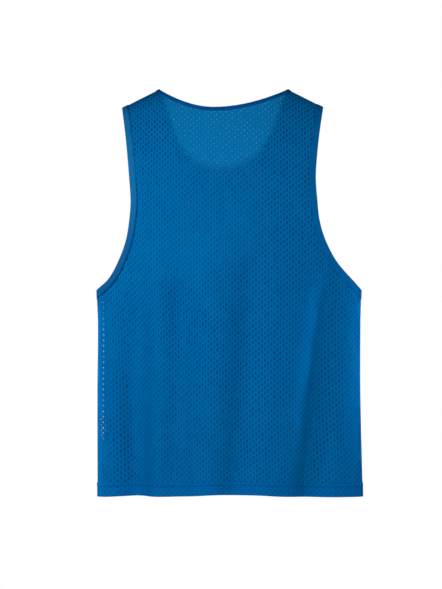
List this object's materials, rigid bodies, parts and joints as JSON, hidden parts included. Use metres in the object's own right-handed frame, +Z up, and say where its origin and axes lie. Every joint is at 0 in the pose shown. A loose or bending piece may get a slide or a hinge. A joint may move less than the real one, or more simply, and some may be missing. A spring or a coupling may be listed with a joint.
{
  "type": "training bib",
  "caption": "Sleeveless open-mesh training bib, worn shape and hollow, with bound neck, banded armholes and a turned-up hem; pulled on over a shirt to mark out a team.",
  "frame": {"origin": "where the wearer's shoulders and neck hold it: midway between the two points where the neck edge meets the shoulder seams", "axes": "+Z up the body, +Y towards the front (the low scooped neck), -Y towards the back (the high neck), +X towards the wearer's right; the side seams, shoulder seams and armpits lie in the plane Y=0"},
  "size_m": [0.4523, 0.1655, 0.6928],
  "materials": {
    "mesh_cloth": "open knitted polyester mesh, soft sheen",
    "binding_cloth": "folded narrow knit binding, matt",
    "armhole_cloth": "the same mesh doubled and topstitched",
    "hem_cloth": "the same mesh turned up and topstitched"
  },
  "bodies": {
    "root": {"back_panel": "mesh_cloth", "front_panel": "mesh_cloth", "neck_binding": "binding_cloth", "armhole_band_left": "armhole_cloth", "armhole_band_right": "armhole_cloth", "hem_band": "hem_cloth"}
  },
  "joints": []
}
